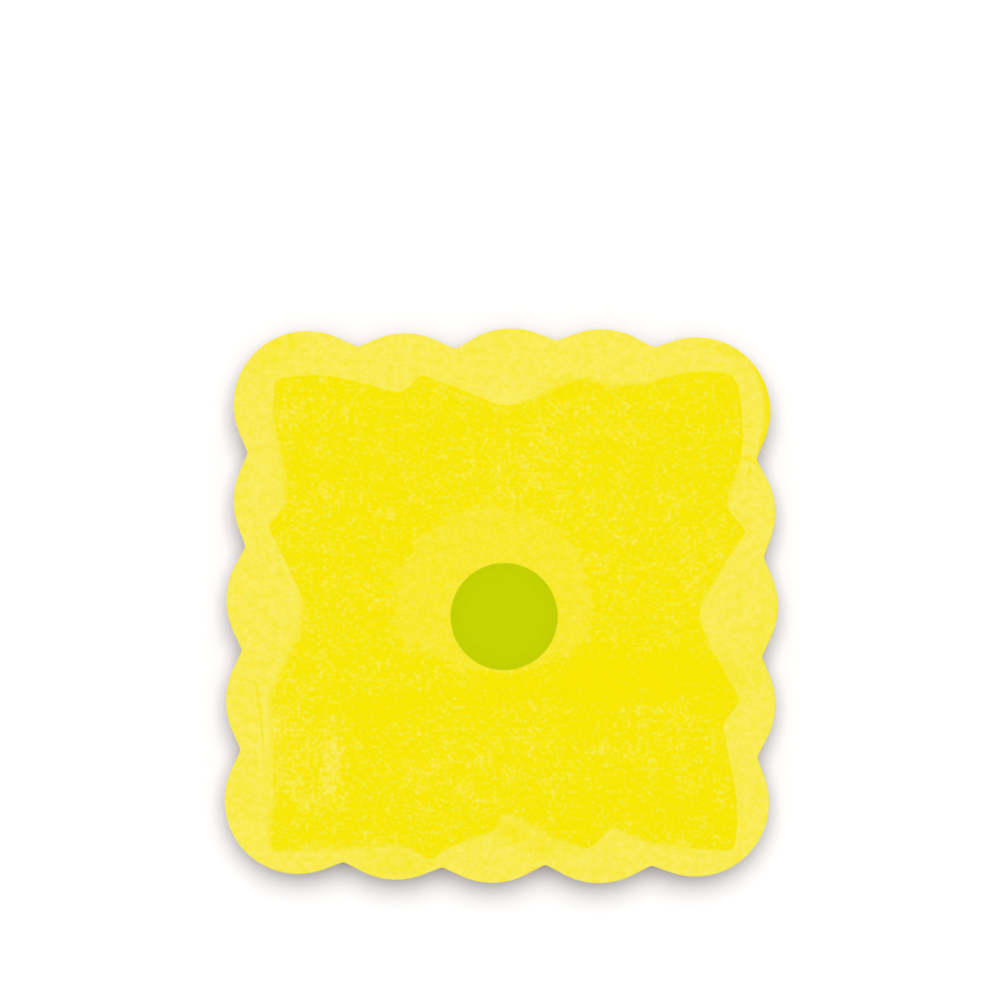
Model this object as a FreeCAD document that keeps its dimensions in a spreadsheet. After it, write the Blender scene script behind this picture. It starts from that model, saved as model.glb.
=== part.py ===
import FreeCAD, Part
import Sketcher
import math
import os
from FreeCAD import Vector

# A tissue-paper garland, folded flat as it is sold, lying on its back.
# One scalloped die cuts every sheet: sixteen round lobes stand round a square at one
# pitch, and meet in small rounded notches with short straight flanks. The sheets are
# glued face to face in pads of one colour, six sheets a pad, and the pads follow each
# other orange, purple, blue, green, pink, yellow from the back to the front. Six pads
# make one round of the colours, glued into one block, and the pile of the rounds pulls
# out to 6 m. On the front of the pile lie a star-shaped tissue sheet with a round
# window and a small disc inside the window. A plain end sheet covers both, and they
# show through it.
# Millimetres. +Z is up, the origin is the middle of the underside, and +Y is the side
# of the garland that is held at the top.

SIZES = (
    # the die that cuts every sheet
    ("lobe_pitch", "22", "distance between the middles of two lobes, along a side"),
    ("pitches_per_side", "4", "lobe pitches from corner lobe to corner lobe"),
    ("lobe_radius", "16.45", "radius of a lobe"),
    ("notch_radius", "1.5", "rounding at the bottom of a notch"),
    ("flank_length", "4.9", "straight run between a lobe and a notch"),
    ("side_bow", "1.2", "how far the middle lobe stands out past the corner lobes"),
    # the tissue and the pile
    ("tissue_thick", "0.04", "one sheet of 17 g/m2 tissue"),
    ("sheets_per_pad", "6", "sheets of one colour in a row: three cells of two sheets"),
    ("pads_per_round", "6", "colours in one round"),
    ("rounds_per_pile", "7", "how often the round of colours comes"),
    # the star sheet that shows through the end sheet
    ("star_margin", "8.5", "from the reach of a corner lobe in to the star's side"),
    ("star_corner", "3", "rounding of the star's corners"),
    ("star_shoulder", "9", "straight side of the star beside each corner"),
    ("star_step_reach", "23.5", "from the middle of a side to the inner step"),
    ("star_step_depth", "3.9", "how far the step lies inside the side"),
    ("star_tip_reach", "18.5", "from the middle of a side to a point"),
    ("star_tip_depth", "0.8", "how far a point lies inside the side"),
    ("star_valley_depth", "7.2", "how far the middle of the side dips"),
    ("star_valley_radius", "9", "rounding of the dip"),
    ("window_diameter", "45.2", "round window in the star sheet"),
    ("window_shift_left", "1.8", "window middle, left of the sheet's middle"),
    ("window_shift_up", "1.1", "window middle, above the sheet's middle"),
    # the disc that shows through the end sheet
    ("disc_diameter", "23.8", "disc inside the window"),
    ("disc_shift_right", "0.5", "disc middle, right of the sheet's middle"),
    ("disc_shift_down", "2.3", "disc middle, below the sheet's middle"),
)

SIDES = 4
UP = Vector(0, 0, 1)

doc = FreeCAD.newDocument("folded_garland")
sizes = doc.addObject("Spreadsheet::Sheet", "sizes")
for row, (alias, number, meaning) in enumerate(SIZES, 1):
    sizes.set(f"A{row}", alias)
    sizes.set(f"B{row}", number)
    sizes.set(f"C{row}", meaning)
    sizes.setAlias(f"B{row}", alias)
doc.recompute()

# Rules that several pieces share, in the names of the cells
CORNER_LOBE = "sizes.pitches_per_side / 2 * sizes.lobe_pitch"
STAR_HALF = f"({CORNER_LOBE} + sizes.lobe_radius - sizes.star_margin)"
ROUND_THICK = "sizes.pads_per_round * sizes.sheets_per_pad * sizes.tissue_thick"


def size(alias):
    """A driving dimension, as a plain number."""
    return float(sizes.get(alias))


def at(point):
    """A sketch point from its two coordinates."""
    return Vector(point[0], point[1], 0)


def hold_value(sketch, constraint, name, rule):
    """Adds a constraint that has a value, names it and ties it to its rule."""
    index = sketch.addConstraint(constraint)
    sketch.renameConstraint(index, name)
    sketch.setExpression(f"Constraints.{name}", rule)


def hold_point(sketch, geometry, which, point, rules, name):
    """Holds one point of a sketch at its distances across and up from the origin."""
    for axis, other_axis_line, value, rule in zip("XY", (-2, -1), point, rules):
        if abs(value) < 1e-9:
            line = Sketcher.Constraint("PointOnObject", geometry, which, other_axis_line)
            sketch.addConstraint(line)
            continue
        origin_first = (-1, 1, geometry, which)
        point_first = (geometry, which, -1, 1)
        ends = origin_first if value > 0 else point_first
        distance = Sketcher.Constraint(f"Distance{axis}", *ends, abs(value))
        hold_value(sketch, distance, f"{name}_{axis.lower()}", rule)


def heading(origin, target):
    """The angle of the line from one point to another."""
    return math.atan2(target.y - origin.y, target.x - origin.x)


def on_circle(middle, radius, angle):
    """The point of a circle at an angle."""
    return middle + Vector(math.cos(angle), math.sin(angle), 0) * radius


def lobe_places():
    """The middle of every lobe, counter-clockwise, each with its rules across and up."""
    pitch, bow = size("lobe_pitch"), size("side_bow")
    pitches = int(size("pitches_per_side"))
    half = pitches / 2
    found = []
    for side in range(SIDES):
        for step in range(pitches):
            count = step - half
            share = 1 - (count / half) ** 2
            out, along = half * pitch + bow * share, count * pitch
            out_rule = f"{CORNER_LOBE} + sizes.side_bow * {share}"
            along_rule = f"{abs(count)} * sizes.lobe_pitch"
            sign = 1 if side < 2 else -1
            if side % 2 == 0:
                found.append(((sign * out, sign * along), (out_rule, along_rule)))
            else:
                found.append(((-sign * along, sign * out), (along_rule, out_rule)))
    return found


def die_sketch():
    """The line of the die: for each lobe its arc, a flank, the notch's arc and the next flank."""
    sketch = doc.addObject("Sketcher::SketchObject", "sheet_die")
    lobe, notch, flank = size("lobe_radius"), size("notch_radius"), size("flank_length")
    places = lobe_places()
    total = len(places)
    middles = [at(point) for point, rules in places]
    reach = math.hypot(lobe + notch, flank)
    lean = math.atan2(flank, lobe + notch)
    notches = []
    for here, after in zip(middles, middles[1:] + middles[:1]):
        chord = after - here
        outward = Vector(chord.y, -chord.x, 0).normalize()
        rise = math.sqrt(reach**2 - (chord.Length / 2) ** 2)
        notches.append((here + after) * 0.5 + outward * rise)

    for i in range(total):
        here, after, valley = middles[i], middles[(i + 1) % total], notches[i]
        lobe_first = heading(here, notches[i - 1]) + lean
        lobe_last = heading(here, valley) - lean
        notch_first = heading(valley, after) + lean
        notch_last = heading(valley, here) - lean
        next_first = heading(after, valley) + lean
        lobe_circle, notch_circle = Part.Circle(here, UP, lobe), Part.Circle(valley, UP, notch)
        leaving = Part.LineSegment(
            on_circle(here, lobe, lobe_last), on_circle(valley, notch, notch_last)
        )
        arriving = Part.LineSegment(
            on_circle(valley, notch, notch_first), on_circle(after, lobe, next_first)
        )
        sketch.addGeometry(Part.ArcOfCircle(lobe_circle, lobe_first, lobe_last), False)
        sketch.addGeometry(leaving, False)
        sketch.addGeometry(Part.ArcOfCircle(notch_circle, notch_first, notch_last), False)
        sketch.addGeometry(arriving, False)

    joins = []
    first_lobe, first_flank, first_notch = 0, 1, 2
    for i in range(total):
        lobe_arc, leaving, notch_arc, arriving = range(4 * i, 4 * i + 4)
        next_lobe = 4 * ((i + 1) % total)
        joins.append(Sketcher.Constraint("Tangent", lobe_arc, 2, leaving, 1))
        joins.append(Sketcher.Constraint("Tangent", leaving, 2, notch_arc, 2))
        joins.append(Sketcher.Constraint("Tangent", notch_arc, 1, arriving, 1))
        joins.append(Sketcher.Constraint("Tangent", arriving, 2, next_lobe, 1))
        joins.append(Sketcher.Constraint("Equal", first_flank, arriving))
        if i:
            joins.append(Sketcher.Constraint("Equal", first_lobe, lobe_arc))
            joins.append(Sketcher.Constraint("Equal", first_notch, notch_arc))
            joins.append(Sketcher.Constraint("Equal", first_flank, leaving))
    sketch.addConstraint(joins)
    for kind, geometry, value, alias in (
        ("Radius", first_lobe, lobe, "lobe_radius"),
        ("Radius", first_notch, notch, "notch_radius"),
        ("Distance", first_flank, flank, "flank_length"),
    ):
        constraint = Sketcher.Constraint(kind, geometry, value)
        hold_value(sketch, constraint, alias, f"sizes.{alias}")
    for i, (point, rules) in enumerate(places):
        hold_point(sketch, 4 * i, 3, point, rules, f"lobe_{i}")
    return sketch


def scalloped(name, thickness, bottom):
    """Sheets cut by the die, glued into one block: its thickness and height follow their rules."""
    block = doc.addObject("Part::Extrusion", name)
    block.Label = name
    block.Base = die
    block.DirMode = "Normal"
    block.Solid = True
    block.setExpression("LengthFwd", thickness)
    block.setExpression("Placement.Base.z", bottom)
    return block


def origin_feature(body, role):
    """One of a body's own origin planes or axes."""
    return next(f for f in body.Origin.OriginFeatures if f.Role == role)


def body_sketch(body, name):
    """An empty sketch on a body's own XY plane."""
    sketch = body.newObject("Sketcher::SketchObject", name)
    sketch.AttachmentSupport = [(origin_feature(body, "XY_Plane"), "")]
    sketch.MapMode = "FlatFace"
    return sketch


def closed_outline(sketch, name, corners):
    """A closed line of straight runs through corners given as (x, y, x rule, y rule)."""
    total = len(corners)
    for i in range(total):
        start, end = at(corners[i]), at(corners[(i + 1) % total])
        sketch.addGeometry(Part.LineSegment(start, end), False)
    for i in range(total):
        sketch.addConstraint(Sketcher.Constraint("Coincident", i, 2, (i + 1) % total, 1))
    for i, (x, y, x_rule, y_rule) in enumerate(corners):
        hold_point(sketch, i, 1, (x, y), (x_rule, y_rule), f"{name}_{i}")


def star_half():
    """Half the width of the star sheet."""
    corner_lobe = size("pitches_per_side") / 2 * size("lobe_pitch")
    return corner_lobe + size("lobe_radius") - size("star_margin")


def upright_edges(shape, wanted):
    """The names of the upright edges whose distance from the middle is wanted."""
    names = []
    for i, edge in enumerate(shape.Edges, 1):
        upright = abs(edge.tangentAt(edge.FirstParameter).z) > 0.9
        if upright and wanted(math.hypot(edge.CenterOfMass.x, edge.CenterOfMass.y)):
            names.append(f"Edge{i}")
    return names


def rounded(body, name, base, wanted, radius_rule):
    """Rounds some upright edges of the feature that the body has reached."""
    fillet = body.newObject("PartDesign::Fillet", name)
    fillet.Base = (base, upright_edges(base.Shape, wanted))
    fillet.setExpression("Radius", radius_rule)
    return fillet


def cut_through(body, name, sketch):
    """A pocket right through the sheet."""
    pocket = body.newObject("PartDesign::Pocket", name)
    pocket.Profile = sketch
    pocket.Type = "ThroughAll"
    pocket.Midplane = True
    return pocket


def side_corners():
    """The piece that falls from one side of the star: two points with a dip between them."""
    half = star_half()
    shoulder = half - size("star_corner") - size("star_shoulder")
    shoulder_rule = f"{STAR_HALF} - sizes.star_corner - sizes.star_shoulder"
    beyond, beyond_rule = half + size("star_margin"), f"{STAR_HALF} + sizes.star_margin"
    step = (
        size("star_step_reach"),
        half - size("star_step_depth"),
        "sizes.star_step_reach",
        f"{STAR_HALF} - sizes.star_step_depth",
    )
    tip = (
        size("star_tip_reach"),
        half - size("star_tip_depth"),
        "sizes.star_tip_reach",
        f"{STAR_HALF} - sizes.star_tip_depth",
    )
    valley = (0, half - size("star_valley_depth"), "0", f"{STAR_HALF} - sizes.star_valley_depth")
    right = [
        (shoulder, beyond, shoulder_rule, beyond_rule),
        (shoulder, half, shoulder_rule, STAR_HALF),
        step,
        tip,
    ]
    left = [(-x, y, x_rule, y_rule) for x, y, x_rule, y_rule in reversed(right)]
    return right + [valley] + left


def star(name, bottom):
    """A star-shaped tissue sheet: a rounded square, each side cut to two points, with a window."""
    body = doc.addObject("PartDesign::Body", name)
    body.Label = name
    body.setExpression("Placement.Base.z", bottom)
    half = star_half()

    blank = body_sketch(body, f"{name}_blank")
    signs = ((-1, -1), (1, -1), (1, 1), (-1, 1))
    closed_outline(blank, "blank", [(x * half, y * half, STAR_HALF, STAR_HALF) for x, y in signs])
    sheet = body.newObject("PartDesign::Pad", f"{name}_sheet")
    sheet.Profile = blank
    sheet.setExpression("Length", "sizes.tissue_thick")
    doc.recompute()
    rounded(body, f"{name}_corners", sheet, lambda far: True, "sizes.star_corner")

    side_line = body_sketch(body, f"{name}_side_line")
    closed_outline(side_line, "side", side_corners())
    side_cut = cut_through(body, f"{name}_side_cut", side_line)
    sides = body.newObject("PartDesign::PolarPattern", f"{name}_sides")
    sides.Originals = [side_cut]
    sides.Axis = (origin_feature(body, "Z_Axis"), [""])
    sides.Angle = 360
    sides.Occurrences = SIDES
    body.Tip = sides
    doc.recompute()
    valley = half - size("star_valley_depth")
    in_valley = lambda far: abs(far - valley) < 1e-6
    rounded(body, f"{name}_valleys", sides, in_valley, "sizes.star_valley_radius")

    window_line = body_sketch(body, f"{name}_window_line")
    middle = (-size("window_shift_left"), size("window_shift_up"))
    diameter = size("window_diameter")
    window_line.addGeometry(Part.Circle(at(middle), UP, diameter / 2), False)
    width = Sketcher.Constraint("Diameter", 0, diameter)
    hold_value(window_line, width, "window_diameter", "sizes.window_diameter")
    shifts = ("sizes.window_shift_left", "sizes.window_shift_up")
    hold_point(window_line, 0, 3, middle, shifts, "window")
    window = cut_through(body, f"{name}_window", window_line)
    body.Tip = window
    return body


def disc(name, bottom):
    """The small disc inside the star sheet's window."""
    made = doc.addObject("Part::Cylinder", name)
    made.Label = name
    made.setExpression("Radius", "sizes.disc_diameter / 2")
    made.setExpression("Height", "sizes.tissue_thick")
    made.setExpression("Placement.Base.x", "sizes.disc_shift_right")
    made.setExpression("Placement.Base.y", "-sizes.disc_shift_down")
    made.setExpression("Placement.Base.z", bottom)
    return made


die = die_sketch()
doc.recompute()
rounds = int(size("rounds_per_pile"))
pile_top = f"{rounds} * {ROUND_THICK}"
pieces = []
for number in range(rounds):
    pieces.append(scalloped(f"colour_round_{number + 1}", ROUND_THICK, f"{number} * {ROUND_THICK}"))
pieces.append(star("star_sheet", pile_top))
pieces.append(disc("centre_disc", pile_top))
pieces.append(scalloped("end_sheet", "sizes.tissue_thick", f"{pile_top} + sizes.tissue_thick"))
doc.recompute()

failed = [o.Label for o in doc.Objects if "Invalid" in o.State or "Error" in o.State]
if failed:
    raise RuntimeError(f"these objects failed: {failed}")
os.makedirs("parts", exist_ok=True)
for piece in pieces:
    shape = piece.Shape
    if shape.isNull() or not shape.isValid() or not shape.Solids:
        raise RuntimeError(f"{piece.Label} has no sound solid")
    shape.exportStep(f"parts/{piece.Label}.step")
print(len(pieces), "pieces,", round(pieces[-1].Shape.BoundBox.ZMax, 3), "mm thick")
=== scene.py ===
import cmath
import math

import bpy
import numpy as np
from bpy.props import FloatProperty, FloatVectorProperty, IntProperty, PointerProperty
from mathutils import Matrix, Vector
from mathutils.geometry import delaunay_2d_cdt


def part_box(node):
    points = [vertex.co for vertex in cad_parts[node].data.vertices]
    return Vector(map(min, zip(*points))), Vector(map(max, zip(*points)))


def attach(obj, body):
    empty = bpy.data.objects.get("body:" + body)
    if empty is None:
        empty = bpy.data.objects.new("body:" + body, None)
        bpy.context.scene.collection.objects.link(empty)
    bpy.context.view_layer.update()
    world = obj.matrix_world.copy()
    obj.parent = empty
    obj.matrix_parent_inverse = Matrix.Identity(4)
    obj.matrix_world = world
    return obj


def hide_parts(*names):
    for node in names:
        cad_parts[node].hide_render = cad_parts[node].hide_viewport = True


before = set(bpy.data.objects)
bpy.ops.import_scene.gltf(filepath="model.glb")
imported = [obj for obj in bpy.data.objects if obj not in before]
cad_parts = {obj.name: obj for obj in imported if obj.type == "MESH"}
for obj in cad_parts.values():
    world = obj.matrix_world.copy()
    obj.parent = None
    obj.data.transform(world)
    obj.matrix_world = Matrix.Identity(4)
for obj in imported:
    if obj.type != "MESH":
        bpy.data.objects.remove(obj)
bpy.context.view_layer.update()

bl_info = {
    "name": "Folded tissue garland",
    "version": (1, 0, 0),
    "blender": (4, 5, 0),
    "location": "3D View > Sidebar > Garland",
    "description": "Builds a die-cut tissue garland, folded flat, in six colours",
    "category": "Object",
}

# Millimetres are used for every outline, and metres for every mesh.
MM = 0.001
SIDES = 4
BODY = "root"
ROUNDS = sorted(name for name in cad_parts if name.startswith("colour_round_"))
PILE_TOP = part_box(ROUNDS[-1])[1].z / MM
FRONT_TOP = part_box("end_sheet")[1].z / MM
# The star sheet and the end sheet share the room above the pile
FRONT_THICK = (FRONT_TOP - PILE_TOP) / 2


def linear(code):
    """A colour for Blender, turned to linear from an sRGB hex value such as F7E700."""
    shares = [int(code[i : i + 2], 16) / 255 for i in (0, 2, 4)]
    return tuple(s / 12.92 if s <= 0.04045 else ((s + 0.055) / 1.055) ** 2.4 for s in shares)


# The colours of one round, from the back of the garland to its front
COLOURS = ("orange", "purple", "blue", "green", "pink", "yellow")


def dye(name, description, code):
    """A colour property, with the hex value it starts from."""
    return FloatVectorProperty(
        name=name, description=description, subtype="COLOR", size=3, min=0, max=1, default=linear(code)
    )


def length(name, description, millimetres):
    """A length property, given in millimetres."""
    return FloatProperty(name=name, description=description, unit="LENGTH", default=millimetres * MM)


class GarlandSizes(bpy.types.PropertyGroup):
    """The die, the tissue and the pieces on the front."""

    lobe_pitch: length("Lobe pitch", "Between the middles of two lobes, along a side", 22)
    lobe_radius: length("Lobe radius", "Radius of every lobe", 16.45)
    notch_radius: length("Notch radius", "Rounding at the bottom of a notch", 1.3)
    flank_length: length("Flank", "Straight run between a lobe and a notch", 4.1)
    side_bow: length("Side bow", "How far the middle lobe stands out", 1.2)
    pitches_per_side: IntProperty(
        name="Pitches", description="Lobe pitches from corner lobe to corner lobe", default=4, min=2
    )
    sheets_per_pad: IntProperty(
        name="Sheets a pad", description="Sheets of one colour in a row", default=6, min=1
    )
    stray: length("Stray", "How far a pad lies off the pile's true line", 0.07)
    pile_inset: length("Inset", "How far the pads stay inside the end sheet", 0.16)
    pile_shift: length("Shift", "How far the pads lie to the right of the end sheet", 0.18)
    window_diameter: length("Window", "Round window in the star sheet", 45.2)
    disc_diameter: length("Disc", "Small disc inside the window", 24)


class GarlandDyes(bpy.types.PropertyGroup):
    """The dyes of the tissue."""

    orange: dye("Orange", "First pad of a round", "F0591E")
    purple: dye("Purple", "Second pad of a round", "A077C8")
    blue: dye("Blue", "Third pad of a round", "10A5DC")
    green: dye("Green", "Fourth pad of a round", "8CCB3C")
    pink: dye("Pink", "Fifth pad of a round", "EB3A82")
    yellow: dye("Yellow", "Last pad of a round", "F9E81E")
    disc: dye("Disc", "Paper of the small disc", "C6D400")


class GarlandStage(bpy.types.PropertyGroup):
    """The light and the camera."""

    sky: FloatProperty(name="Sky", description="Share of the light that comes from all round", default=0.32)
    sun: FloatProperty(name="Lamp", description="Share of the light from the soft lamp", default=0.7)
    lens: FloatProperty(name="Lens", description="Focal length in millimetres", default=150)


# Outlines in millimetres: complex numbers while they are made, then arrays of x and y


def arc(middle, radius, first, last, spacing):
    """Points along an arc, from one angle to another."""
    steps = max(3, math.ceil(abs(last - first) * radius / spacing))
    turns = [first + (last - first) * i / steps for i in range(steps + 1)]
    return [middle + cmath.rect(radius, turn) for turn in turns]


def run(start, end, spacing):
    """The points inside a straight run, without its ends."""
    steps = max(2, math.ceil(abs(end - start) / spacing))
    return [start + (end - start) * i / steps for i in range(1, steps)]


# The pushed pile lies a little out of square, and its sheets have crept: how far each lobe
# lies off its true place, in millimetres right and up, counter-clockwise from the lower
# right corner lobe.
LOBE_STRAYS = (
    (-0.6, 0.0),
    (-0.1, 0.1),
    (0.2, 0.1),
    (-0.1, -1.0),
    (-0.3, -0.2),
    (0.3, 0.7),
    (2.1, 0.6),
    (0.4, -0.2),
    (0.5, 1.2),
    (1.4, 1.6),
    (0.1, 1.4),
    (-0.3, 0.9),
    (-1.5, 0.6),
    (-1.6, 0.2),
    (-2.1, -0.2),
    (-0.2, -0.6),
)


def die_line(sizes, spacing):
    """The scalloped line of the pile as it lies, counter-clockwise."""
    pitch, bow = sizes.lobe_pitch / MM, sizes.side_bow / MM
    lobe, notch = sizes.lobe_radius / MM, sizes.notch_radius / MM
    half = sizes.pitches_per_side / 2
    middles = []
    for side in range(SIDES):
        for step in range(sizes.pitches_per_side):
            count = step - half
            out = half * pitch + bow * (1 - (count / half) ** 2)
            stray = complex(*LOBE_STRAYS[len(middles) % len(LOBE_STRAYS)])
            middles.append(complex(out, count * pitch) * 1j**side + stray)
    reach = math.hypot(lobe + notch, sizes.flank_length / MM)
    lean = math.atan2(sizes.flank_length / MM, lobe + notch)
    valleys = []
    for here, after in zip(middles, middles[1:] + middles[:1]):
        chord = after - here
        rise = math.sqrt(reach**2 - (abs(chord) / 2) ** 2)
        valleys.append((here + after) / 2 - 1j * chord / abs(chord) * rise)

    line = []
    for i, here in enumerate(middles):
        valley, after = valleys[i], middles[(i + 1) % len(middles)]
        first = cmath.phase(valleys[i - 1] - here) + lean
        last = cmath.phase(valley - here) - lean
        last += math.tau if last < first else 0
        lobe_arc = arc(here, lobe, first, last, spacing)
        first = cmath.phase(here - valley) - lean
        last = cmath.phase(after - valley) + lean
        last -= math.tau if last > first else 0
        notch_arc = arc(valley, notch, first, last, spacing)
        next_start = after + cmath.rect(lobe, cmath.phase(valley - after) + lean)
        line += lobe_arc + run(lobe_arc[-1], notch_arc[0], spacing)
        line += notch_arc + run(notch_arc[-1], next_start, spacing)
    return plain(line)


def plain(line):
    """Complex points as an array of x and y."""
    return np.array([(p.real, p.imag) for p in line])


def rounded(corners, steps=6):
    """A closed line through corners, each given as x, y and how far back its rounding starts."""
    line = []
    for i, (x, y, back) in enumerate(corners):
        here = complex(x, y)
        before, after = (complex(*corners[j % len(corners)][:2]) for j in (i - 1, i + 1))
        starts = []
        for other in (before, after):
            gap = other - here
            starts.append(here + gap / abs(gap) * min(back, abs(gap) / 2))
        for t in (k / steps for k in range(steps + 1)):
            line.append(starts[0] * (1 - t) ** 2 + 2 * here * t * (1 - t) + starts[1] * t**2)
    return plain(line)


def through(corners, steps=5):
    """A smooth open line through points."""
    places = [complex(*corner) for corner in corners]
    places = [2 * places[0] - places[1], *places, 2 * places[-1] - places[-2]]
    line = []
    for before, start, end, after in zip(places, places[1:], places[2:], places[3:]):
        for t in (k / steps for k in range(steps)):
            curve = 2 * start + (end - before) * t
            curve += (2 * before - 5 * start + 4 * end - after) * t**2
            curve += (3 * start - before - 3 * end + after) * t**3
            line.append(curve / 2)
    return plain(line + [places[-2]])


def ring(line):
    """A closed line as an open one that ends where it starts."""
    return np.concatenate([line, line[:1]])


def spaced(line, spacing):
    """An open line with points at even steps."""
    along = np.concatenate([[0], np.cumsum(np.hypot(*np.diff(line, axis=0).T))])
    steps = np.linspace(0, along[-1], max(2, math.ceil(along[-1] / spacing)) + 1)
    return np.column_stack([np.interp(steps, along, values) for values in line.T])


def beside(line, offset):
    """An open line that runs beside another, to its left."""
    way = np.gradient(line, axis=0)
    way /= np.hypot(*way.T)[:, None]
    return line + offset * np.column_stack([-way[:, 1], way[:, 0]])


# The relief of the pile, in millimetres
HALF_PILE = 60
RIM_DROP = 0.34
SWELL = 0.09


def relief(points):
    """How far the pile's top dips below its full height: pressed rims and a slow swell."""
    x, y = points.T
    far = np.maximum(np.abs(x), np.abs(y)) / HALF_PILE
    swell = np.sin(x / 9.5 + 0.6) * np.cos(y / 12.5 - 0.4) + np.sin((x + y) / 17 + 1.9)
    return -RIM_DROP * np.clip(far, 0, 1.1) ** 6 - SWELL * (1 - swell / 2)


def height(points, level):
    """The height of a sheet that lies at a level of the pile."""
    return level + relief(points) * (level / PILE_TOP)


# Meshes


def piece(name, vertices, faces, material, fields=None):
    """A mesh object from points in millimetres, with a material and named values at its points."""
    mesh = bpy.data.meshes.new(name)
    mesh.from_pydata((np.asarray(vertices) * MM).tolist(), [], faces)
    mesh.update()
    for label, values in (fields or {}).items():
        field = mesh.attributes.new(label, "FLOAT", "POINT")
        field.data.foreach_set("value", np.asarray(values, dtype=np.float32))
    mesh.materials.append(material)
    made = bpy.data.objects.new(name, mesh)
    bpy.context.scene.collection.objects.link(made)
    return made


# How near a point of a field may come to the outline and to a line, in shares of its spacing
CLEAR_OF_OUTLINE = 0.55
CLEAR_OF_LINE = 0.45


def filled(outline, spacing, lines=()):
    """Triangles that fill an outline round an even field of points, and follow lines in it."""
    low, high = outline.min(0), outline.max(0)
    row_gap = spacing * math.sqrt(3) / 2
    field = []
    for row, y in enumerate(np.arange(low[1], high[1], row_gap)):
        shift = spacing / 2 * (row % 2)
        field += [(x, y) for x in np.arange(low[0] + shift, high[0], spacing)]
    field = np.array(field)
    clear = signed_distance(field, outline) > spacing * CLEAR_OF_OUTLINE
    edges, points, first = [], [outline], len(outline)
    for line in lines:
        clear &= nearest(field, line)[0] > spacing * CLEAR_OF_LINE
        edges += [(first + i, first + i + 1) for i in range(len(line) - 1)]
        points.append(line)
        first += len(line)
    points.append(field[clear])
    corners = [Vector(p) for p in np.concatenate(points)]
    inside = delaunay_2d_cdt(corners, edges, [list(range(len(outline)))], 1, 1e-4)
    return np.array([tuple(v) for v in inside[0]]), [list(f) for f in inside[2]]


def nearest(points, line):
    """How far each point lies from an open line, and at what share of its length."""
    x, y = points.T
    gap, along = np.full(len(points), np.inf), np.zeros(len(points))
    for i, ((ax, ay), (bx, by)) in enumerate(zip(line, line[1:])):
        dx, dy = bx - ax, by - ay
        share = np.clip(((x - ax) * dx + (y - ay) * dy) / max(dx * dx + dy * dy, 1e-12), 0, 1)
        here = np.hypot(x - ax - share * dx, y - ay - share * dy)
        closer = here < gap
        gap[closer] = here[closer]
        along[closer] = (i + share[closer]) / (len(line) - 1)
    return gap, along


def signed_distance(points, line):
    """How far each point lies inside a closed line, negative outside."""
    crossings = np.zeros(len(points), dtype=int)
    x, y = points.T
    for (ax, ay), (bx, by) in zip(line, np.roll(line, -1, axis=0)):
        if ay != by:
            spans = (ay > y) != (by > y)
            crossings += spans & (x < ax + (y - ay) / (by - ay) * (bx - ax))
    gap = nearest(points, ring(line))[0]
    return np.where(crossings % 2 == 1, gap, -gap)


def thickened(points, faces, top, bottom):
    """A closed sheet: the flat triangles at two heights, and a wall along every open edge."""
    total = len(points)
    vertices = np.concatenate([np.column_stack([points, top]), np.column_stack([points, bottom])])
    under = [[i + total for i in reversed(face)] for face in faces]
    directed = {(f[i], f[(i + 1) % len(f)]) for f in faces for i in range(len(f))}
    walls = [[b, a, a + total, b + total] for a, b in directed if (b, a) not in directed]
    return vertices, faces + under + sorted(walls)


def laid(points, faces):
    """A closed sheet that lies flat on the pile."""
    low = height(points, PILE_TOP)
    return thickened(points, faces, low + FRONT_THICK, low)


# Materials. A mix node's inputs go by number: 0 is its share, 2 and 3 are values, 6 and 7 colours.


def add(tree, kind, inputs=None, **settings):
    """Adds a node with its settings, and gives each input a value or the socket that feeds it."""
    node = tree.nodes.new(kind)
    for name, value in settings.items():
        setattr(node, name, value)
    for key, value in (inputs or {}).items():
        if isinstance(value, bpy.types.NodeSocket):
            tree.links.new(value, node.inputs[key])
        else:
            node.inputs[key].default_value = value
    return node


def per(millimetres):
    """The scale of a pattern whose features are so many millimetres wide."""
    return 1 / (millimetres * MM)


def opaque(colour):
    """A colour with its fourth number."""
    return (*colour, 1)


def new_material(name):
    """An empty material, its node tree and its output node."""
    material = bpy.data.materials.new(name)
    material.use_nodes = True
    tree = material.node_tree
    tree.nodes.clear()
    output = add(tree, "ShaderNodeOutputMaterial")
    return material, tree, output


def paper_surface(tree, output, colour, height_source, relief_depth):
    """Unsized tissue: rough fibres with almost no gloss, and a relief some millimetres deep."""
    bump = add(
        tree, "ShaderNodeBump", {"Height": height_source, "Distance": relief_depth * MM, "Strength": 1.0}
    )
    look = {
        "Base Color": colour,
        "Roughness": 0.92,
        "IOR": 1.47,
        "Specular IOR Level": 0.02,
        "Normal": bump.outputs[0],
    }
    shader = add(tree, "ShaderNodeBsdfPrincipled", look)
    tree.links.new(shader.outputs[0], output.inputs["Surface"])


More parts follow.
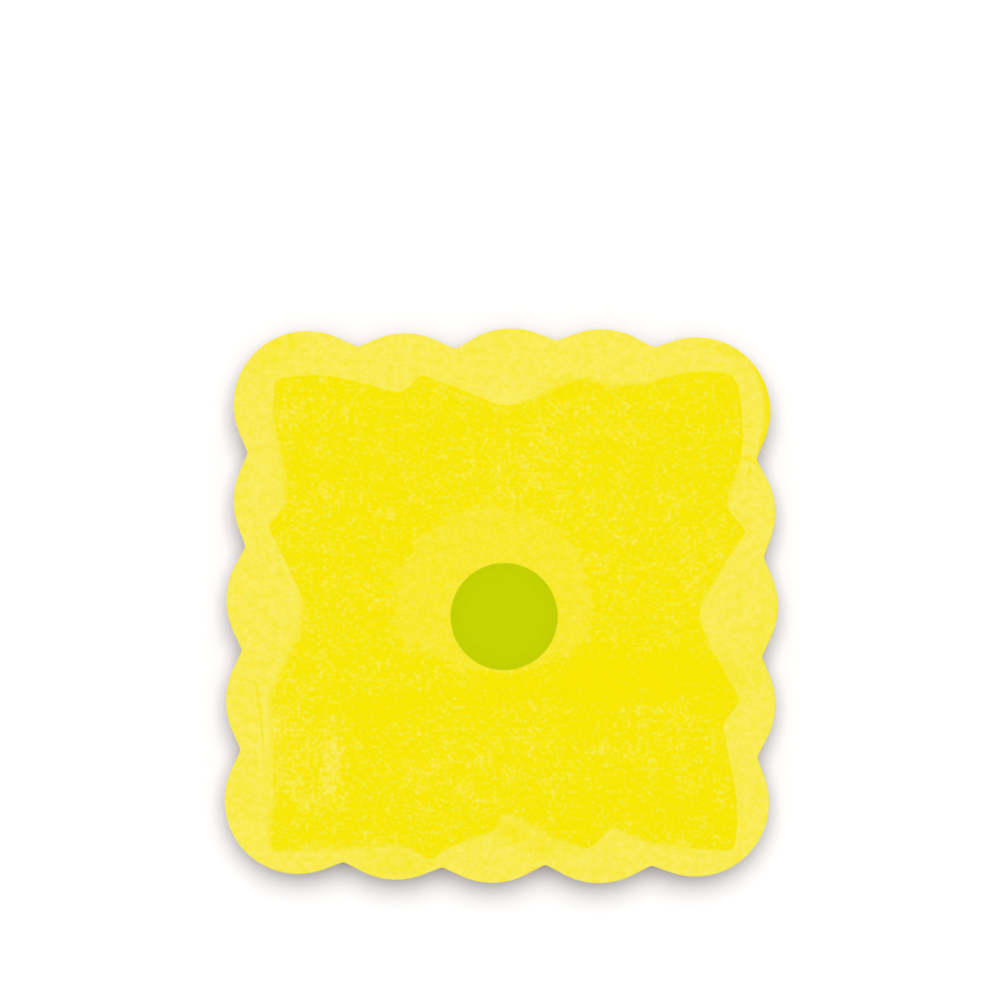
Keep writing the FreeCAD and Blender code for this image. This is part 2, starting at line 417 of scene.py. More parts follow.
def tissue_stack_material(name, colour):
    """Dyed-in-the-pulp tissue seen at the cut edge and face of a pad: cloudy, with stray fibres
    across it, and each sheet a shade of its own, so that the edge reads as separate sheets."""
    material, tree, output = new_material(name)
    place = add(tree, "ShaderNodeTexCoord").outputs["Object"]
    cloud = add(tree, "ShaderNodeTexNoise", {"Vector": place, "Scale": per(6), "Detail": 3.0})
    fibre = add(tree, "ShaderNodeTexNoise", {"Vector": place, "Scale": per(0.5), "Detail": 3.0})
    shade = add(tree, "ShaderNodeAttribute", attribute_name="shade")
    both = add(
        tree, "ShaderNodeMath", {0: cloud.outputs[0], 1: fibre.outputs[0]}, operation="ADD"
    )
    spread = add(
        tree,
        "ShaderNodeMath",
        {0: both.outputs[0], 1: 0.5, 2: shade.outputs["Fac"]},
        operation="MULTIPLY_ADD",
    )
    share = add(
        tree, "ShaderNodeMapRange", {"Value": spread.outputs[0], "From Min": 0.2, "From Max": 0.8}
    )
    # The lightest and the deepest tone that the dye takes
    light = tuple(c + (1 - c) * 0.2 for c in colour)
    deep = tuple(c * 0.94 for c in colour)
    mixed = add(
        tree,
        "ShaderNodeMix",
        {0: share.outputs[0], 6: opaque(deep), 7: opaque(light)},
        data_type="RGBA",
    )
    paper_surface(tree, output, mixed.outputs[2], fibre.outputs[0], 0.05)
    return material


# The star sheet's line as it shows through the front, each corner with how far back its
# rounding starts. Millimetres from the middle of the pile.
STAR_LINE = (
    (-50.7, 50.9, 0.7),
    (-41.0, 52.2, 8.0),
    (-31.0, 50.0, 6.0),
    (-22.6, 47.7, 1.0),
    (-17.8, 51.9, 0.9),
    (-10.0, 49.0, 4.0),
    (1.4, 44.3, 4.0),
    (10.9, 48.4, 4.0),
    (19.4, 51.4, 1.0),
    (22.4, 49.6, 1.5),
    (31.5, 49.5, 2.5),
    (38.3, 52.0, 4.0),
    (46.0, 52.7, 4.0),
    (52.6, 52.0, 3.6),
    (54.2, 40.0, 7.0),
    (53.5, 32.6, 3.0),
    (50.0, 22.4, 2.2),
    (54.8, 16.9, 1.0),
    (50.0, 10.0, 4.0),
    (43.4, -1.6, 4.0),
    (48.4, -12.1, 5.0),
    (53.5, -21.2, 1.4),
    (49.4, -26.2, 1.6),
    (51.0, -34.0, 4.0),
    (53.0, -45.0, 6.0),
    (52.2, -54.6, 2.4),
    (40.0, -54.0, 8.0),
    (31.0, -52.4, 4.0),
    (25.0, -49.0, 2.0),
    (19.4, -54.4, 1.6),
    (11.0, -51.3, 4.0),
    (0.2, -45.6, 2.0),
    (-2.2, -50.6, 1.5),
    (-10.0, -52.8, 3.0),
    (-16.2, -56.7, 1.4),
    (-22.2, -53.3, 3.0),
    (-34.0, -53.6, 8.0),
    (-51.6, -54.8, 2.2),
    (-50.9, -36.0, 8.0),
    (-50.4, -26.0, 4.0),
    (-51.8, -19.6, 2.5),
    (-44.6, -5.0, 4.0),
    (-44.0, 0.8, 3.0),
    (-48.4, 10.5, 5.0),
    (-52.2, 17.9, 1.0),
    (-47.9, 23.6, 2.0),
    (-48.6, 32.0, 5.0),
    (-51.3, 42.0, 5.0),
)
# The part of the window that stays pale. Its lower edge is closed by the paste round the disc.
WINDOW_MIDDLE = (-1.7, 0.1)
PASTE_EDGE = (
    (19.4, -8.5, 1.5),
    (13.6, -10.8, 2.0),
    (9.4, -13.2, 4.0),
    (0.0, -16.0, 6.0),
    (-10.0, -13.8, 4.0),
    (-16.0, -11.2, 3.0),
    (-23.0, -9.8, 1.5),
)
DISC_MIDDLE = (0.6, -2.25)


def circle(middle, diameter, spacing=1.0):
    """A closed circle."""
    return plain(arc(complex(*middle), diameter / 2, 0, math.tau, spacing)[:-1])


# Each patch on the front is x, y, reach across, reach up, its turn in degrees and how much it
# adds. Slow changes of tone come first: where paste or damp has drawn the tissue together it is
# deeper, and where the sheets lie apart it is paler.
CLOUDS = (
    (-47.0, 44.5, 3.5, 5.5, 0, 0.15),
    (-48.0, -35.0, 4.5, 13.0, 0, 0.12),
    (-50.4, -39.0, 0.9, 0.9, 0, -0.3),
    (-49.3, -41.8, 0.9, 0.9, 0, -0.3),
    (-50.9, -46.8, 0.9, 0.9, 0, -0.3),
    (-48.6, -50.9, 0.9, 0.9, 0, -0.3),
    (20.1, 48.1, 0.9, 0.9, 0, -0.3),
    (14.5, 50.0, 4.5, 1.5, 0, -0.2),
    (1.5, -50.5, 3.5, 2.5, 0, -0.2),
    (12.0, -53.0, 5.0, 1.5, 0, -0.2),
    (-25.0, 28.0, 13.0, 11.0, 0, -0.07),
    (-34.0, 44.0, 8.0, 5.0, 0, 0.02),
    (4.0, 30.0, 12.0, 8.0, 0, 0.08),
    (8.0, 28.5, 4.0, 4.0, 0, 0.10),
    (38.0, 31.0, 11.0, 7.0, 20, -0.08),
    (47.0, 47.0, 8.0, 6.0, 0, -0.07),
    (38.0, 14.0, 12.0, 7.0, 0, 0.06),
    (15.0, 14.0, 3.5, 4.0, 0, -0.10),
    (34.0, -15.6, 20.0, 5.4, 0, -0.42),
    (17.0, -16.5, 6.0, 5.0, 0, -0.30),
    (-12.0, -20.0, 22.0, 3.0, 4, -0.24),
    (-28.0, -24.0, 5.0, 3.5, 0, -0.22),
    (20.0, -25.0, 8.0, 4.5, 15, -0.20),
    (22.6, -31.4, 1.6, 2.2, -30, 0.30),
    (33.0, -29.0, 8.0, 6.0, 0, 0.10),
    (25.0, -40.0, 9.0, 8.0, 0, -0.10),
    (44.0, -46.0, 10.0, 4.0, -12, -0.12),
    (16.0, -49.0, 7.0, 3.0, -20, -0.14),
    (-6.0, -38.0, 20.0, 9.0, 0, 0.05),
    (-43.5, -32.0, 5.0, 8.0, 0, 0.14),
    (-37.6, -35.0, 2.6, 6.5, 0, 0.50),
    (-38.6, -26.5, 1.6, 3.5, 10, 0.20),
    (-40.8, -42.2, 4.4, 2.3, 25, 0.34),
    (-47.4, -40.0, 1.8, 3.2, 30, 0.20),
    (52.0, 56.8, 7.0, 1.3, -14, -0.26),
    (-50.0, 57.0, 7.0, 3.5, 38, -0.18),
    (58.0, -7.0, 4.0, 5.0, 0, -0.10),
    (-57.5, -42.0, 3.0, 6.0, 0, -0.12),
    (-58.0, -22.0, 2.0, 5.0, 0, -0.10),
    (-24.0, -57.5, 9.0, 3.0, 0, -0.20),
    (2.0, 47.0, 7.0, 3.5, 0, 0.10),
    (47.5, 56.0, 6.0, 1.6, 0, 0.10),
    (-54.0, 31.0, 3.0, 5.0, 0, 0.08),
    (5.0, -52.0, 7.5, 2.0, -35, -0.26),
)
# How much deeper the tone is along a thin line just inside the star's edge
EDGE_LINE_DEPTH = (
    (0.0, 0.0, 200.0, 200.0, 0, 0.07),
    (-45.5, 51.3, 5.5, 1.5, 9, 0.30),
    (-50.7, 45.0, 1.5, 6.5, 0, 0.20),
    (-32.0, 50.2, 2.5, 1.5, 0, 0.30),
    (-5.5, 47.6, 5.5, 1.8, -19, 0.45),
    (-17.8, 51.2, 1.2, 1.2, 0, 0.50),
    (50.0, 51.5, 4.0, 3.0, 0, 0.45),
    (53.6, 40.5, 1.6, 7.5, 0, 0.45),
    (52.3, 20.0, 5.5, 1.6, -62, 0.45),
    (-51.7, 18.2, 1.3, 1.3, 0, 0.50),
    (-47.8, 9.2, 8.5, 2.0, -64, 0.25),
    (51.6, -23.2, 3.2, 1.5, 57, 0.45),
    (49.5, -27.2, 1.5, 2.0, 0, 0.40),
    (52.5, -44.0, 1.5, 6.0, 0, 0.45),
    (51.5, -53.2, 1.3, 1.3, 0, 0.50),
    (20.5, -52.5, 2.3, 1.2, 39, 0.50),
    (-16.0, -55.6, 1.2, 1.2, 0, 0.45),
    (-10.0, -52.5, 1.2, 1.2, 0, 0.40),
    (-5.4, -51.8, 1.2, 1.2, 0, 0.40),
    (-2.2, -50.4, 1.2, 1.2, 0, 0.40),
    (0.3, -45.8, 1.3, 1.2, 0, 0.40),
    (-51.3, -53.4, 1.2, 1.2, 0, 0.40),
)
# How far the star's edge fades, in millimetres: crisp, but for where the paste has run
EDGE_FADE = (
    (0.0, 0.0, 200.0, 200.0, 0, 0.2),
    (-50.0, -36.0, 16.0, 16.0, 0, 2.6),
    (-48.0, 30.0, 7.0, 7.0, 0, 1.2),
    (-45.0, -8.0, 8.0, 8.0, 0, 1.2),
    (-34.0, -54.0, 12.0, 6.0, 0, 1.0),
    (-5.0, -50.0, 9.0, 9.0, 0, 0.6),
    (10.0, -50.0, 9.0, 9.0, 0, 0.7),
    (38.0, -54.0, 9.0, 9.0, 0, 0.5),
    (26.0, 50.0, 7.0, 7.0, 0, 0.7),
    (12.0, 48.0, 7.0, 7.0, 0, 0.5),
    (50.0, 8.0, 9.0, 9.0, 0, 0.4),
    (50.0, 27.0, 5.0, 5.0, 0, 0.6),
)
# How wide the deeper rim of the end sheet is, in millimetres: partly the next colours showing
# through, partly painted shade where the rim turns away from the lamp
RIM_SHADE_AND_SHOW_THROUGH = (
    (-62.0, 0.0, 6.0, 60.0, 0, 0.4),
    (62.0, 0.0, 6.0, 60.0, 0, 0.4),
    (60.2, 45.5, 8.0, 12.5, 0, 1.7),
)
# Creases and folds on the front sheet, painted into its colour: how much deeper each line is, as
# painted shade in the fold (paler where negative, as painted highlight on its lit side), its half
# width in millimetres, and the points that it runs through.
SHADED_CREASES = (
    (0.50, 0.35, ((-39.0, 49.7), (-34.7, 49.0), (-31.0, 49.5))),
    (-0.35, 0.45, ((-38.4, 50.5), (-36.4, 50.3), (-34.4, 50.3))),
    (0.60, 0.35, ((-55.1, -15.3), (-54.7, -19.0), (-54.0, -22.9), (-53.6, -27.0), (-53.2, -33.0))),
    (-0.20, 0.40, ((-53.4, -20.0), (-52.7, -27.0), (-52.2, -34.0))),
    (0.28, 0.30, ((-54.9, -27.6), (-55.0, -33.0), (-54.6, -39.0))),
    (-0.18, 0.35, ((-54.2, -27.0), (-54.2, -33.0), (-53.7, -38.0))),
    (0.28, 0.30, ((-50.8, -27.0), (-50.7, -36.0), (-50.8, -45.0))),
    (-0.18, 0.35, ((-51.7, -30.0), (-51.6, -36.0), (-51.8, -45.0))),
    (0.80, 0.50, ((55.9, 31.4), (55.4, 30.1), (55.0, 28.9))),
    (0.45, 0.40, ((53.6, 33.5), (56.0, 32.6), (57.4, 32.0))),
    (0.20, 0.30, ((52.7, 41.3), (52.6, 38.0), (52.7, 34.4))),
    (0.12, 0.35, ((54.5, -48.0), (54.6, -51.0), (54.5, -53.4))),
    (-0.30, 0.40, ((50.6, -21.5), (51.3, -21.7), (52.0, -22.0))),
    (-0.30, 0.40, ((49.8, -23.0), (50.5, -23.2), (51.2, -23.5))),
    (-0.35, 0.50, ((27.6, 42.2), (28.1, 44.0), (28.5, 45.8))),
    (-0.35, 0.45, ((30.8, 45.2), (31.3, 47.0), (31.7, 48.6))),
    (-0.25, 0.45, ((19.0, 43.2), (19.4, 44.7), (19.9, 46.0))),
)
# Half the width of the darker line inside the star's edge
EDGE_LINE_HALF = 0.3


def patches(points, table):
    """What the patches of a table add up to at each point."""
    x, y = points.T
    total = np.zeros(len(points))
    for left, up, wide, tall, turn, change in table:
        angle = math.radians(turn)
        across = ((x - left) * math.cos(angle) + (y - up) * math.sin(angle)) / wide
        along = ((y - up) * math.cos(angle) - (x - left) * math.sin(angle)) / tall
        total += change * np.exp(-((across**2 + along**2) ** 1.5))
    return total


def crease_and_edge_line_depth(points, shaded_creases, inside_star):
    """How much deeper each point is for the creases' painted shade and highlight, and for the darker line
    inside the star's edge.
    """
    # A darker line just inside the star's edge
    paste = np.clip(1 - np.abs(inside_star - EDGE_LINE_HALF) / EDGE_LINE_HALF, 0, 1)
    depth = paste * patches(points, EDGE_LINE_DEPTH)
    # Each crease: painted shade along the fold, painted highlight where its depth is negative
    for strength, half, line in shaded_creases:
        gap, along = nearest(points, line)
        ends = np.clip(5 * np.minimum(along, 1 - along), 0, 1)
        depth += strength * ends * np.clip(1 - gap / half, 0, 1)
    return depth


def front_tissue_material(dyes):
    """Yellow tissue pasted over a second sheet: pale where it lies alone, deep yellow with pale
    specks where paste has drawn the two together, and clear green over the disc."""
    material, tree, output = new_material("pasted_yellow_tissue")
    place = add(tree, "ShaderNodeTexCoord").outputs["Object"]

    # Soft specks about 1 mm wide where the paste missed, drifts of them, clouds in the pulp and
    # its short fibres. Each is its width in millimetres, its detail and its roughness.
    patterns = {
        "specks": (1.0, 1, 0.6),
        "drift": (4.0, 2, 0.5),
        "pulp": (2.0, 3, 0.6),
        "fibre": (0.6, 1, 0.5),
    }
    source = {}
    for name, (width, detail, roughness) in patterns.items():
        settings = {"Vector": place, "Scale": per(width), "Detail": detail, "Roughness": roughness}
        source[name] = add(tree, "ShaderNodeTexNoise", settings).outputs[0]
    for name in ("cloud", "star", "fade", "window", "disc", "mark", "rim"):
        source[name] = add(tree, "ShaderNodeAttribute", attribute_name=name).outputs["Fac"]
    source["star"] = add(
        tree, "ShaderNodeMath", {0: source["star"], 1: source["fade"]}, operation="DIVIDE"
    ).outputs[0]

    # Tones and edges, each the sum of a start and of sources with their weights
    sums = {
        "star_tone": (-1.74, {"cloud": 1, "specks": 1.7, "drift": 1.0, "pulp": 0.7, "fibre": 0.5}),
        "band_tone": (-0.02, {"cloud": 1, "pulp": 1.0, "fibre": 0.7}),
        "window_tone": (-0.39, {"pulp": 0.9, "fibre": 0.9}),
        "star_edge": (-1.4, {"star": 1, "pulp": 1.6, "fibre": 1.2}),
        "window_edge": (-3.0, {"window": 1, "specks": 4.0, "drift": 2.0}),
        "green": (-0.9, {"disc": 0.25, "pulp": 2.0}),
    }
    for name, (start, weights) in sums.items():
        total = start
        for part, weight in weights.items():
            total = add(
                tree, "ShaderNodeMath", {0: source[part], 1: weight, 2: total}, operation="MULTIPLY_ADD"
            ).outputs[0]
        source[name] = total

    # Shares from 0 to 1 between two values of a source
    shares = {
        "in_star": ("star_edge", -1, 1),
        "in_window": ("window_edge", -0.8, 0.8),
        "in_disc": ("disc", -0.14, 0.14),
        "in_rim_shade_and_show": ("rim", 0, 1.3),
    }
    for name, (part, low, high) in shares.items():
        limits = {"Value": source[part], "From Min": low, "From Max": high}
        source[name] = add(tree, "ShaderNodeMapRange", limits).outputs[0]

    # The tone of the window, the star and the band round them, then the creases' painted shade and
    # highlight with the darker line inside the star's edge, then the rim, partly painted shade
    inner = {0: source["in_window"], 2: source["star_tone"], 3: source["window_tone"]}
    inner_tone = add(tree, "ShaderNodeMix", inner).outputs[0]
    outer = {0: source["in_star"], 2: source["band_tone"], 3: inner_tone}
    tone = add(tree, "ShaderNodeMix", outer).outputs[0]
    # Painted shade and highlight of the creases, and the darker line inside the star's edge
    tone = add(tree, "ShaderNodeMath", {0: tone, 1: source["mark"]}, operation="SUBTRACT").outputs[0]
    # The rim goes deeper: partly the colours beneath showing through, partly painted shade where it turns
    # from the lamp
    tone = add(
        tree,
        "ShaderNodeMath",
        {0: source["in_rim_shade_and_show"], 1: -0.6, 2: tone},
        operation="MULTIPLY_ADD",
        use_clamp=True,
    ).outputs[0]

    # The tone is a share of the palest yellow as the eye sees it, so it is made linear here
    share = add(tree, "ShaderNodeMath", {0: tone, 1: 2.2}, operation="POWER").outputs[0]
    yellow = add(
        tree,
        "ShaderNodeMix",
        {0: share, 6: opaque(linear("F8E800")), 7: opaque(linear("FBEE64"))},
        data_type="RGBA",
    ).outputs[2]
    green = add(
        tree,
        "ShaderNodeMix",
        {0: source["green"], 6: opaque(linear("C2CF00")), 7: opaque(dyes.disc)},
        data_type="RGBA",
    ).outputs[2]
    colour = add(
        tree, "ShaderNodeMix", {0: source["in_disc"], 6: yellow, 7: green}, data_type="RGBA"
    ).outputs[2]

    # The relief is drawn deeper than 0.04 mm tissue has it, or it would not show
    raised = 0.0
    for part, weight in {"in_star": 0.3, "in_disc": 0.3, "fibre": 0.9, "mark": 0.8}.items():
        raised = add(
            tree, "ShaderNodeMath", {0: source[part], 1: weight, 2: raised}, operation="MULTIPLY_ADD"
        ).outputs[0]
    paper_surface(tree, output, colour, raised, 0.06)
    return material


# Operators: each makes a piece, or a group of like pieces


def dress(made, node):
    """Hangs a piece on the body, and hides the CAD node that it stands for."""
    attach(made, BODY)
    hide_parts(node)


# How far a sheet strays in its pad, the waves of its edge as how many there are and how deep,
# both in millimetres, how much of its room it fills, and how far its shade strays
SHEET_STRAY = 0.012
EDGE_WAVES = ((5, 0.015), (13, 0.012))
SHEET_FILL = 0.97
SHADE_STRAY = 0.25


class GARLAND_OT_pads(bpy.types.Operator):
    """Cuts the pads: six loose sheets of one colour each, in the order of the colours"""

    bl_idname = "garland.pads"
    bl_label = "Cut the pads"

    outline_spacing: FloatProperty(name="Spacing", description="Millimetres between points", default=2.0)
    pressed_width: FloatProperty(
        name="Pressed rim", description="Millimetres of rim that flare", default=5.0
    )
    seed: IntProperty(name="Seed", description="Sets how the sheets stray", default=7)

    def execute(self, context):
        sizes, dyes = context.scene.garland_sizes, context.scene.garland_dyes
        chance = np.random.default_rng(self.seed)
        line = die_line(sizes, self.outline_spacing) * (1 - sizes.pile_inset / MM / HALF_PILE)
        line += (sizes.pile_shift / MM, 0)
        sheets = sizes.sheets_per_pad
        gap = PILE_TOP / (len(ROUNDS) * len(COLOURS) * sheets)
        materials = {
            colour: tissue_stack_material(f"{colour}_dyed_tissue", tuple(getattr(dyes, colour)))
            for colour in COLOURS
        }
        number = 0
        for node in ROUNDS:
            for colour in COLOURS:
                parts = []
                off = chance.normal(0, sizes.stray / MM / 2, 2)
                for sheet in range(sheets):
                    level = (number * sheets + sheet) * gap
                    parts.append(self.sheet(chance, line, off, level, gap))
                number += 1
                vertices, faces, shades = self.joined(parts, chance)
                name = f"pad_{number:02d}_{colour}"
                made = piece(name, vertices, faces, materials[colour], {"shade": shades})
                dress(made, node)
        return {"FINISHED"}

    def sheet(self, chance, line, off, level, gap):
        """One sheet: a flared rim, a pressed middle and two faces."""
        stray = off + chance.normal(0, SHEET_STRAY, 2)
        starts = chance.uniform(0, math.tau, 2)
        angle = np.arctan2(line[:, 1], line[:, 0])
        waves = zip(EDGE_WAVES, starts)
        push = sum(deep * np.sin(count * angle + start) for (count, deep), start in waves)
        away = line / np.hypot(*line.T)[:, None]
        rim = line + stray + away * push[:, None]
        inner = rim * (1 - self.pressed_width / HALF_PILE)
        thick = gap * SHEET_FILL
        edges = []
        for edge in (rim, inner):
            low = height(edge, level)
            edges.append((np.column_stack([edge, low + thick]), np.column_stack([edge, low])))
        return edges

    def joined(self, parts, chance):
        """All the sheets of a pad in one mesh, and a shade for each sheet."""
        vertices, faces, shades = [], [], []
        for (rim_top, rim_low), (inner_top, inner_low) in parts:
            first, total = sum(len(v) for v in vertices), len(rim_top)
            vertices += [rim_top, inner_top, rim_low, inner_low]
            rim, inner, under, under_inner = (
                [first + k * total + i for i in range(total)] for k in range(4)
            )
            for i in range(total):
                j = (i + 1) % total
                faces.append([rim[i], rim[j], inner[j], inner[i]])
                faces.append([under[j], under[i], under_inner[i], under_inner[j]])
                faces.append([under[i], under[j], rim[j], rim[i]])
            faces.append(inner)
            faces.append(under_inner[::-1])
            shades += [chance.uniform(-SHADE_STRAY, SHADE_STRAY)] * (4 * total)
        return np.concatenate(vertices), faces, shades


class GARLAND_OT_star_sheet(bpy.types.Operator):
    """Cuts the star sheet with its round window"""

    bl_idname = "garland.star_sheet"
    bl_label = "Cut the star sheet"

    def execute(self, context):
        sizes, dyes = context.scene.garland_sizes, context.scene.garland_dyes
        outline = rounded(STAR_LINE)
        window = circle(WINDOW_MIDDLE, sizes.window_diameter / MM)
        points, faces = filled(outline, 2.5, [ring(window)])
        # The triangles that reach out of the window stay, past the rounding of its own points
        inside = signed_distance(points, window)
        faces = [f for f in faces if min(inside[i] for i in f) < -0.01]
        used = sorted({i for f in faces for i in f})
        place = {old: new for new, old in enumerate(used)}
        vertices, faces = laid(points[used], [[place[i] for i in f] for f in faces])
        material = tissue_stack_material("star_sheet_tissue", tuple(dyes.yellow))
        made = piece("star_sheet_tissue", vertices, faces, material, {"shade": np.zeros(len(vertices))})
        dress(made, "star_sheet")
        return {"FINISHED"}


class GARLAND_OT_centre_disc(bpy.types.Operator):
    """Cuts the small green disc"""

    bl_idname = "garland.centre_disc"
    bl_label = "Cut the disc"

    def execute(self, context):
        sizes, dyes = context.scene.garland_sizes, context.scene.garland_dyes
        outline = circle(DISC_MIDDLE, sizes.disc_diameter / MM, spacing=0.6)
        vertices, faces = laid(*filled(outline, spacing=1.5))
        material = tissue_stack_material("green_disc_paper", tuple(dyes.disc))
        made = piece("centre_disc_paper", vertices, faces, material, {"shade": np.zeros(len(vertices))})
        dress(made, "centre_disc")
        return {"FINISHED"}


# How far apart the points lie on the lines that the end sheet follows, how wide its lifted rim
# is, both in millimetres, and how high it lies over the pile, in sheets
LINE_SPACING = 0.7
LIFTED_RIM = 7
SHEETS_UP = 1.2


class GARLAND_OT_end_sheet(bpy.types.Operator):
    """Lays the end sheet over the star sheet and the disc, which show through it"""

    bl_idname = "garland.end_sheet"
    bl_label = "Lay the end sheet"

    spacing: FloatProperty(name="Spacing", description="Millimetres between points", default=1.1)

    def execute(self, context):
        sizes = context.scene.garland_sizes
        outline = die_line(sizes, self.spacing)
        star = rounded(STAR_LINE)
        disc = circle(DISC_MIDDLE, sizes.disc_diameter / MM)
        shaded_creases = [
            (depth, half, spaced(through(corners), LINE_SPACING)) for depth, half, corners in SHADED_CREASES
        ]
        edge = spaced(ring(star), LINE_SPACING)
        lines = [ring(disc), edge, beside(edge, -EDGE_LINE_HALF), beside(edge, -2 * EDGE_LINE_HALF)]
        for _, half, line in shaded_creases:
            lines += [line, beside(line, half), beside(line, -half)]
        points, faces = filled(outline, self.spacing, lines)

        inside, inside_star = signed_distance(points, outline), signed_distance(points, star)
        low = height(points, PILE_TOP) + FRONT_THICK * SHEETS_UP + self.lift(points, inside)
        vertices, faces = thickened(points, faces, low + FRONT_THICK, low)
        window = circle(WINDOW_MIDDLE, sizes.window_diameter / MM)
        pasted = signed_distance(points, self.paste(window))
        pale = np.minimum(signed_distance(points, window), -pasted)
        fields = {
            "star": inside_star,
            "fade": patches(points, EDGE_FADE),
            "window": pale,
            "disc": signed_distance(points, disc),
            "cloud": patches(points, CLOUDS),
            # Painted shade and highlight along the creases, and the darker line inside the star's edge
            "mark": crease_and_edge_line_depth(points, shaded_creases, inside_star),
            # A deeper rim, partly the colours beneath showing through and partly painted shade
            "rim": patches(points, RIM_SHADE_AND_SHOW_THROUGH) - inside,
        }
        fields = {name: np.tile(values, 2) for name, values in fields.items()}
        material = front_tissue_material(context.scene.garland_dyes)
        made = piece("end_sheet_tissue", vertices, faces, material, fields)
        dress(made, "end_sheet")
        return {"FINISHED"}

    def paste(self, window):
        """The pasted area that closes the lower part of the window and reaches well past it."""
        low = window[:, 1].min() - 1
        right, left = PASTE_EDGE[0][0] + 6, PASTE_EDGE[-1][0] - 6
        corners = [(right, low, 0.1), (right, PASTE_EDGE[0][1], 0.1), *PASTE_EDGE]
        corners += [(left, PASTE_EDGE[-1][1], 0.1), (left, low, 0.1)]
        return rounded(corners)

    def lift(self, points, inside):
        """Small ripples, and the rims of some lobes that lift off the pile a little."""
        x, y = points.T
        rim = np.clip(1 - inside / LIFTED_RIM, 0, 1) ** 2
        angle = np.arctan2(y, x)
        curl = 0.05 + 0.03 * np.sin(7 * angle + 0.5) + 0.02 * np.sin(16 * angle)
        ripple = 0.02 * (1 + np.sin(x / 3.1 + 2 * np.sin(y / 7)) * np.sin(y / 4.3))
        return rim * curl + ripple


def seen_by_lens(tree):
    """1 for rays that the lens sees, straight or through a gloss or a clear piece, or else 0."""
    rays = add(tree, "ShaderNodeLightPath").outputs
    first = add(
        tree,
        "ShaderNodeMath",
        {0: rays["Is Camera Ray"], 1: rays["Is Glossy Ray"]},
        operation="ADD",
    )
    return add(
        tree,
        "ShaderNodeMath",
        {0: first.outputs[0], 1: rays["Is Transmission Ray"]},
        operation="ADD",
        use_clamp=True,
    ).outputs[0]


# The floor's half width and how far its painted shadow reaches round the pile, in millimetres,
# how deep that painted shadow gets, and what lifts it to white
FLOOR_HALF = 3000
PAINTED_SHADOW_REACH = 5
PAINTED_SHADOW_LEVEL = 0.88
FLOOR_LIFT = 0.035
# How wide the lamp is, and how it leans, in degrees
LAMP_SPREAD = 50
LAMP_LEAN = (-16, 1)


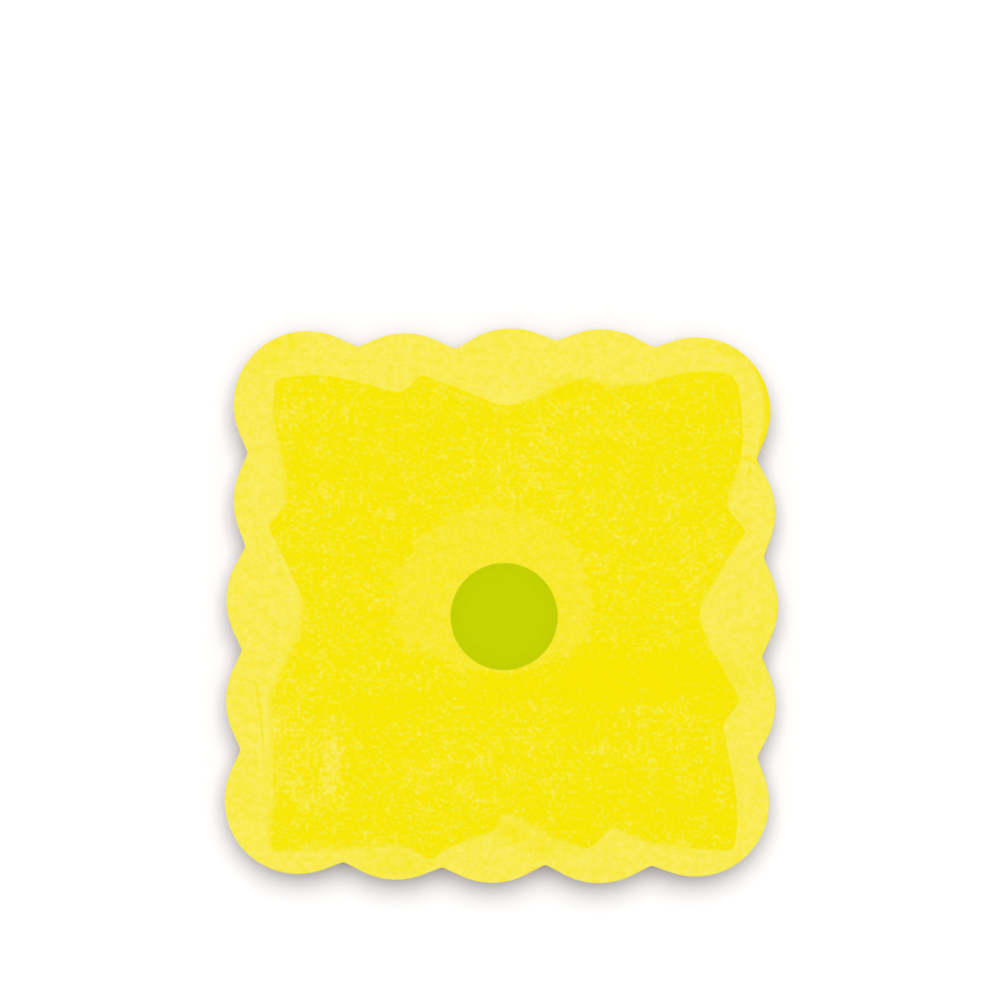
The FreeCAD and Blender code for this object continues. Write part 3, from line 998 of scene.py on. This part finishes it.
class GARLAND_OT_stage(bpy.types.Operator):
    """Sets the pale floor, the soft lamp, the sky and the camera"""

    bl_idname = "garland.stage"
    bl_label = "Set the stage"

    def execute(self, context):
        settings = context.scene.garland_stage
        self.floor()
        self.sky(context.scene, settings.sky)
        self.lamp(settings.sun)
        self.camera(context.scene, settings.lens)
        context.scene.view_settings.view_transform = "Standard"
        return {"FINISHED"}

    def floor(self):
        """A white floor that keeps the shadow: the lens sees its light level lifted to white, and darkened
        close to the pile by a painted shadow from ambient occlusion."""
        half = FLOOR_HALF
        corners = [(-half, -half, 0), (half, -half, 0), (half, half, 0), (-half, half, 0)]
        material, tree, output = new_material("white_card_floor")
        diffuse = add(tree, "ShaderNodeBsdfDiffuse", {"Color": opaque((0.8, 0.8, 0.8))})
        # Painted shadow: ambient occlusion darkens the floor's colour within a few millimetres of the pile
        painted_shadow_occlusion = add(tree, "ShaderNodeAmbientOcclusion", {"Distance": PAINTED_SHADOW_REACH * MM}, samples=8)
        limits = {"From Min": 0.5, "From Max": 1.0, "To Min": PAINTED_SHADOW_LEVEL, "To Max": 1.0}
        level = add(tree, "ShaderNodeMapRange", {"Value": painted_shadow_occlusion.outputs["AO"], **limits})
        painted_shadow_diffuse = add(tree, "ShaderNodeBsdfDiffuse", {"Color": level.outputs[0]})
        lifted = add(tree, "ShaderNodeEmission", {"Color": opaque((1, 1, 1)), "Strength": FLOOR_LIFT})
        seen = add(tree, "ShaderNodeAddShader", {0: painted_shadow_diffuse.outputs[0], 1: lifted.outputs[0]})
        shader = add(
            tree,
            "ShaderNodeMixShader",
            {0: seen_by_lens(tree), 1: diffuse.outputs[0], 2: seen.outputs[0]},
        )
        tree.links.new(shader.outputs[0], output.inputs["Surface"])
        piece("floor", corners, [[0, 1, 2, 3]], material)

    def sky(self, scene, level):
        """An even pale sky, white where the lens sees it."""
        world = bpy.data.worlds.new("even_sky")
        scene.world = world
        world.use_nodes = True
        tree = world.node_tree
        tree.nodes.clear()
        strength = add(
            tree, "ShaderNodeMapRange", {"Value": seen_by_lens(tree), "To Min": level, "To Max": 1.0}
        )
        white = opaque((1, 1, 1))
        light = add(tree, "ShaderNodeBackground", {"Color": white, "Strength": strength.outputs[0]})
        output = add(tree, "ShaderNodeOutputWorld")
        tree.links.new(light.outputs[0], output.inputs["Surface"])

    def lamp(self, level):
        """A wide soft lamp from overhead, a little towards the garland's top side."""
        lamp = bpy.data.lights.new("soft_lamp", "SUN")
        lamp.angle = math.radians(LAMP_SPREAD)
        lamp.energy = level * math.pi
        made = bpy.data.objects.new("soft_lamp", lamp)
        bpy.context.scene.collection.objects.link(made)
        made.rotation_euler = (*(math.radians(lean) for lean in LAMP_LEAN), 0)

    def camera(self, scene, lens):
        """Straight down, as the garland was pictured, with the picture's middle above its own."""
        pixels_per_mm = 4.47
        middle_px = (501.5, 606.5)
        picture_px = 1000
        half_px = picture_px / 2
        x = (half_px - middle_px[0]) / pixels_per_mm * MM
        y = (middle_px[1] - half_px) / pixels_per_mm * MM
        data = bpy.data.cameras.new("camera")
        data.lens = lens
        data.clip_start = 0.01
        width = picture_px / pixels_per_mm * MM
        camera = bpy.data.objects.new("camera", data)
        camera.location = (x, y, FRONT_TOP * MM + width * lens / data.sensor_width)
        scene.collection.objects.link(camera)
        scene.camera = camera


class GARLAND_PT_panel(bpy.types.Panel):
    """Shows a button for each step that builds the garland, and its settings"""

    bl_idname = "GARLAND_PT_panel"
    bl_label = "Folded garland"
    bl_space_type = "VIEW_3D"
    bl_region_type = "UI"
    bl_category = "Garland"

    def draw(self, context):
        for step in STEPS:
            self.layout.operator(step.bl_idname)
        for group in ("garland_sizes", "garland_dyes", "garland_stage"):
            settings = getattr(context.scene, group)
            box = self.layout.box()
            for name in settings.bl_rna.properties.keys():
                if name not in ("rna_type", "name"):
                    box.prop(settings, name)


STEPS = (
    GARLAND_OT_stage,
    GARLAND_OT_pads,
    GARLAND_OT_star_sheet,
    GARLAND_OT_centre_disc,
    GARLAND_OT_end_sheet,
)
CLASSES = (GarlandSizes, GarlandDyes, GarlandStage, *STEPS, GARLAND_PT_panel)


def register():
    """Registers the classes and hangs the settings on the scene."""
    for kind in CLASSES:
        bpy.utils.register_class(kind)
    bpy.types.Scene.garland_sizes = PointerProperty(type=GarlandSizes)
    bpy.types.Scene.garland_dyes = PointerProperty(type=GarlandDyes)
    bpy.types.Scene.garland_stage = PointerProperty(type=GarlandStage)


def unregister():
    """Takes the settings and the classes away again."""
    del bpy.types.Scene.garland_stage
    del bpy.types.Scene.garland_dyes
    del bpy.types.Scene.garland_sizes
    for kind in reversed(CLASSES):
        bpy.utils.unregister_class(kind)


def main():
    """Builds the garland and its stage."""
    register()
    bpy.ops.garland.stage()
    bpy.ops.garland.pads()
    bpy.ops.garland.star_sheet()
    bpy.ops.garland.centre_disc()
    bpy.ops.garland.end_sheet()


if __name__ == "__main__":
    main()
